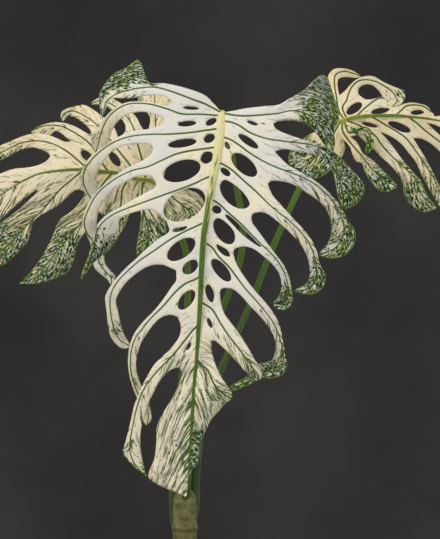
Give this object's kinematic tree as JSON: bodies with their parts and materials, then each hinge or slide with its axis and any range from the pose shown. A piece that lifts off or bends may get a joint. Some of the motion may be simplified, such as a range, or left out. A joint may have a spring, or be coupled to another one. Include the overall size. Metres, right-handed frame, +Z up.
{
  "type": "potted devil monster monstera",
  "caption": "Potted variegated monstera with deeply cut, holed and curling cream leaves on slim green petioles, a short ringed cane and a plain tapered pot.",
  "frame": {"origin": "centre of the pot's underside, on the surface it stands on", "axes": "+Z up, -Y towards the front of the plant, which the front leaf faces"},
  "size_m": [0.6058, 0.2301, 0.7113],
  "materials": {
    "pot": "matte moulded dark grey plastic",
    "soil": "moist chunky bark and peat mix",
    "cane": "dull olive brown stem with ringed scars",
    "petiole_front": "satin olive green stalk",
    "petiole_left": "satin olive green stalk",
    "petiole_right": "satin olive green stalk",
    "leaf_front": "satin cream white tissue with green veins and flecks",
    "leaf_left": "satin warm cream tissue with green veins and mottled tips",
    "leaf_right": "satin warm cream tissue with green veins and mottled tips"
  },
  "bodies": {
    "root": {"pot": "pot", "soil": "soil", "cane": "cane", "petiole_front": "petiole_front", "petiole_left": "petiole_left", "petiole_right": "petiole_right", "leaf_front": "leaf_front", "leaf_left": "leaf_left", "leaf_right": "leaf_right"}
  },
  "joints": []
}
